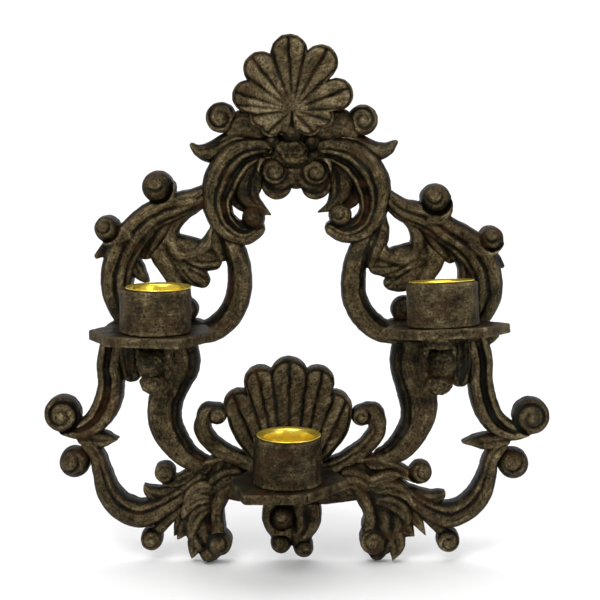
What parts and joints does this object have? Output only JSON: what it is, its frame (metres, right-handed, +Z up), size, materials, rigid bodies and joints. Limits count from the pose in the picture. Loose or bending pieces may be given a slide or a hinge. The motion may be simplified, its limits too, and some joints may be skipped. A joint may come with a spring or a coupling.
{
  "type": "wall sconce candle holder",
  "caption": "Openwork carved wall sconce with shell crest, scrolling acanthus frame, hexagonal shelves and lift-out brass candle cups.",
  "frame": {"origin": "centre of the keyhole hanger's round entry hole, on the wall plane", "axes": "+Z up, +Y into the wall, -Y towards the room, +X to the viewer's right"},
  "size_m": [0.424, 0.093, 0.4419],
  "materials": {
    "carved_wood": "distressed dark stain, dry-brushed tan on the raised carving",
    "sawn_wood": "distressed dark stain over sawn and pared faces, worn arrises",
    "shadow_wood": "near-black stain in the recessed carving",
    "brass": "polished spun brass",
    "steel": "zinc plated"
  },
  "bodies": {
    "root": {"crest_shell": "carved_wood", "crest_ground": "carved_wood", "crest_rosette": "carved_wood", "crest_pendant": "carved_wood", "crest_wing_left": "carved_wood", "crest_wing_right": "carved_wood", "crest_bud_left": "carved_wood", "crest_bud_right": "carved_wood", "arch_left": "carved_wood", "arch_right": "carved_wood", "arch_leaf_left": "shadow_wood", "arch_leaf_right": "shadow_wood", "upper_arm_left": "carved_wood", "upper_arm_right": "carved_wood", "fan_leaf_left": "carved_wood", "fan_leaf_right": "carved_wood", "scroll_bud_left": "shadow_wood", "scroll_bud_right": "shadow_wood", "c_scroll_left": "carved_wood", "c_scroll_right": "carved_wood", "shelf_seat_left": "shadow_wood", "shelf_seat_right": "shadow_wood", "inner_stile_left": "carved_wood", "inner_stile_right": "carved_wood", "outer_stile_left": "carved_wood", "outer_stile_right": "carved_wood", "side_ball_left": "carved_wood", "side_ball_right": "carved_wood", "lower_scroll_left": "carved_wood", "lower_scroll_right": "carved_wood", "hook_leaf_left": "carved_wood", "hook_leaf_right": "carved_wood", "foot_leaf_left": "carved_wood", "foot_leaf_right": "carved_wood", "base_rail": "shadow_wood", "lower_shell": "carved_wood", "shell_hook_left": "carved_wood", "shell_hook_right": "carved_wood", "centre_drop": "carved_wood", "corbel_left": "shadow_wood", "corbel_right": "shadow_wood", "shelf_left": "sawn_wood", "shelf_right": "sawn_wood", "shelf_lower": "sawn_wood", "candle_block_left": "sawn_wood", "candle_block_right": "sawn_wood", "candle_block_lower": "sawn_wood", "hanger_plate": "steel", "hanger_screws": "steel", "shelf_screws": "steel", "block_screws": "steel"},
    "cup_left": {"brass_cup_left": "brass"},
    "cup_right": {"brass_cup_right": "brass"},
    "cup_lower": {"brass_cup_lower": "brass"}
  },
  "joints": [
    {"name": "cup_lift_left", "type": "slide", "parent": "root", "child": "cup_left", "axis": [0, 0, 1], "range_m": [0, 0.03]},
    {"name": "cup_lift_right", "type": "slide", "parent": "root", "child": "cup_right", "axis": [-0.0435, 0.0872, 0.9952], "range_m": [0, 0.03]},
    {"name": "cup_lift_lower", "type": "slide", "parent": "root", "child": "cup_lower", "axis": [0, 0, 1], "range_m": [0, 0.03]}
  ]
}
